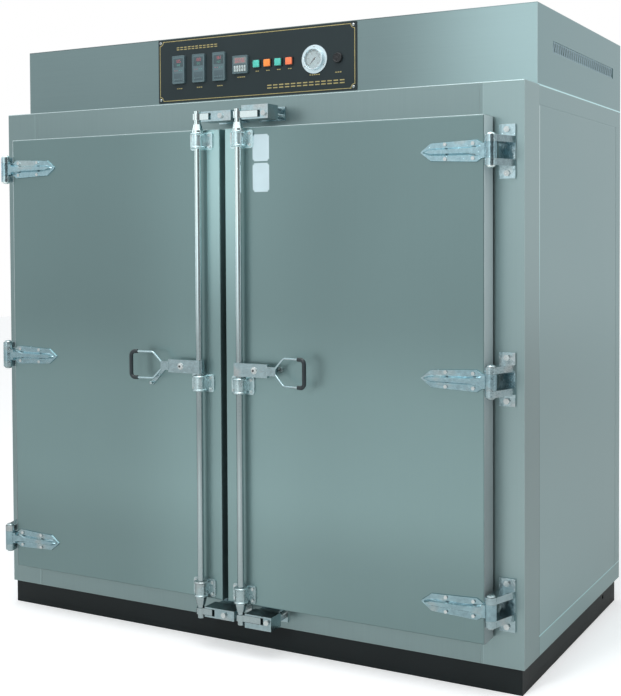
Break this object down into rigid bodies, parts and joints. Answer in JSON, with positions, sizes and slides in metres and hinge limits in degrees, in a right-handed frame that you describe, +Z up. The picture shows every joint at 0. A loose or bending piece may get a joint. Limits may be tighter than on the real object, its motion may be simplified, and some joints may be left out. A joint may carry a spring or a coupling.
{
  "type": "drying oven",
  "caption": "Floor-standing drying oven with hinged doors, turning lock rods with lever handles, a control panel on its header, shelves, slotted ducts, heaters and a fan.",
  "frame": {"origin": "on the floor, under the middle of the oven's overall footprint, handles and spigot included", "axes": "+X to the right as seen from the doors, -Y out of the doors, +Z up"},
  "size_m": [1.95, 1.261, 2.02],
  "materials": {
    "brushed_front": "vertical brushed, slightly teal",
    "brushed_casing": "brushed",
    "liner_steel": "smooth mill",
    "shelf_steel": "satin",
    "plinth_paint": "satin black",
    "panel_paint": "satin near black",
    "bright_hardware": "bright plated, slightly worn",
    "bright_rod": "drawn bright steel",
    "bolt_steel": "zinc plated",
    "grip_plastic": "moulded black",
    "gasket_rubber": "matt silicone",
    "mineral_wool": "fibrous",
    "instrument_plastic": "fine textured",
    "black_plastic": "satin",
    "green_plastic": "translucent gloss",
    "orange_plastic": "translucent gloss",
    "red_plastic": "translucent gloss",
    "gauge_white": "gloss",
    "pointer_black": "matt",
    "gauge_glass": "clear",
    "heater_steel": "heat tinted",
    "motor_paint": "painted"
  },
  "bodies": {
    "cabinet": {"plinth_frame": "plinth_paint", "front_frame": "brushed_casing", "casing_left": "brushed_casing", "casing_right": "brushed_casing", "casing_back": "brushed_casing", "casing_roof": "brushed_casing", "casing_floor": "liner_steel", "inner_liner": "liner_steel", "insulation": "mineral_wool", "air_ducts": "liner_steel", "shelf_runners": "shelf_steel", "shelves": "shelf_steel", "heaters": "heater_steel", "fan_motor": "motor_paint", "header_front": "brushed_casing", "header_shell": "brushed_casing", "header_lid": "brushed_casing", "header_louvres": "brushed_casing", "control_panel": "panel_paint", "panel_screws": "bolt_steel", "temperature_controllers": "instrument_plastic", "timer": "instrument_plastic", "gauge_case": "gauge_white", "gauge_lens": "gauge_glass", "buzzer": "black_plastic", "button_bezels": "black_plastic", "exhaust_spigot": "shelf_steel", "cable_gland": "black_plastic", "hinge_brackets": "bright_hardware", "hinge_pins": "bright_rod", "frame_bolts": "bolt_steel", "keepers": "bright_hardware"},
    "fan": {"fan_impeller": "shelf_steel"},
    "gauge_needle": {"gauge_pointer": "pointer_black"},
    "button_1": {"push_button_1": "green_plastic"},
    "button_2": {"push_button_2": "orange_plastic"},
    "button_3": {"push_button_3": "green_plastic"},
    "button_4": {"push_button_4": "red_plastic"},
    "door_left": {"door_skin_left": "brushed_front", "door_liner_left": "liner_steel", "door_core_left": "mineral_wool", "door_gasket_left": "gasket_rubber", "hinge_straps_left": "bright_hardware", "rod_bearings_left": "bright_hardware", "door_bolts_left": "bolt_steel"},
    "rod_left": {"lock_rod_left": "bright_rod", "handle_left": "bright_hardware", "handle_grip_left": "grip_plastic"},
    "catch_left": {"handle_catch_left": "bright_hardware"},
    "door_right": {"door_skin_right": "brushed_front", "door_liner_right": "liner_steel", "door_core_right": "mineral_wool", "door_gasket_right": "gasket_rubber", "hinge_straps_right": "bright_hardware", "rod_bearings_right": "bright_hardware", "door_bolts_right": "bolt_steel"},
    "rod_right": {"lock_rod_right": "bright_rod", "handle_right": "bright_hardware", "handle_grip_right": "grip_plastic"},
    "catch_right": {"handle_catch_right": "bright_hardware"}
  },
  "joints": [
    {"name": "door_left", "type": "hinge", "parent": "cabinet", "child": "door_left", "pos_m": [-0.906, -0.5795, 0.921], "axis": [0, 0, -1], "range_deg": [0, 180]},
    {"name": "rod_left", "type": "hinge", "parent": "door_left", "child": "rod_left", "pos_m": [-0.076, -0.5945, 0.918], "axis": [0, 0, 1], "range_deg": [0, 100]},
    {"name": "catch_left", "type": "hinge", "parent": "door_left", "child": "catch_left", "pos_m": [-0.213, -0.5725, 0.921], "axis": [0, -1, 0], "range_deg": [-84, 134]},
    {"name": "door_right", "type": "hinge", "parent": "cabinet", "child": "door_right", "pos_m": [0.906, -0.5795, 0.921], "axis": [0, 0, 1], "range_deg": [0, 180]},
    {"name": "rod_right", "type": "hinge", "parent": "door_right", "child": "rod_right", "pos_m": [0.076, -0.5945, 0.918], "axis": [0, 0, -1], "range_deg": [0, 100]},
    {"name": "catch_right", "type": "hinge", "parent": "door_right", "child": "catch_right", "pos_m": [0.213, -0.5725, 0.921], "axis": [0, 1, 0], "range_deg": [-218, 0]},
    {"name": "fan_spin", "type": "hinge", "parent": "cabinet", "child": "fan", "pos_m": [0, 0.063, 1.575], "axis": [0, 0, 1], "continuous": true},
    {"name": "gauge_needle_turn", "type": "hinge", "parent": "cabinet", "child": "gauge_needle", "pos_m": [0.233, -0.3795, 1.907], "axis": [0, 1, 0], "range_deg": [0, 270]},
    {"name": "button_1_press", "type": "slide", "parent": "cabinet", "child": "button_1", "axis": [0, 1, 0], "range_m": [0, 0.003], "stiffness_N_per_m": 400},
    {"name": "button_2_press", "type": "slide", "parent": "cabinet", "child": "button_2", "axis": [0, 1, 0], "range_m": [0, 0.003], "stiffness_N_per_m": 400},
    {"name": "button_3_press", "type": "slide", "parent": "cabinet", "child": "button_3", "axis": [0, 1, 0], "range_m": [0, 0.003], "stiffness_N_per_m": 400},
    {"name": "button_4_press", "type": "slide", "parent": "cabinet", "child": "button_4", "axis": [0, 1, 0], "range_m": [0, 0.003], "stiffness_N_per_m": 400}
  ]
}
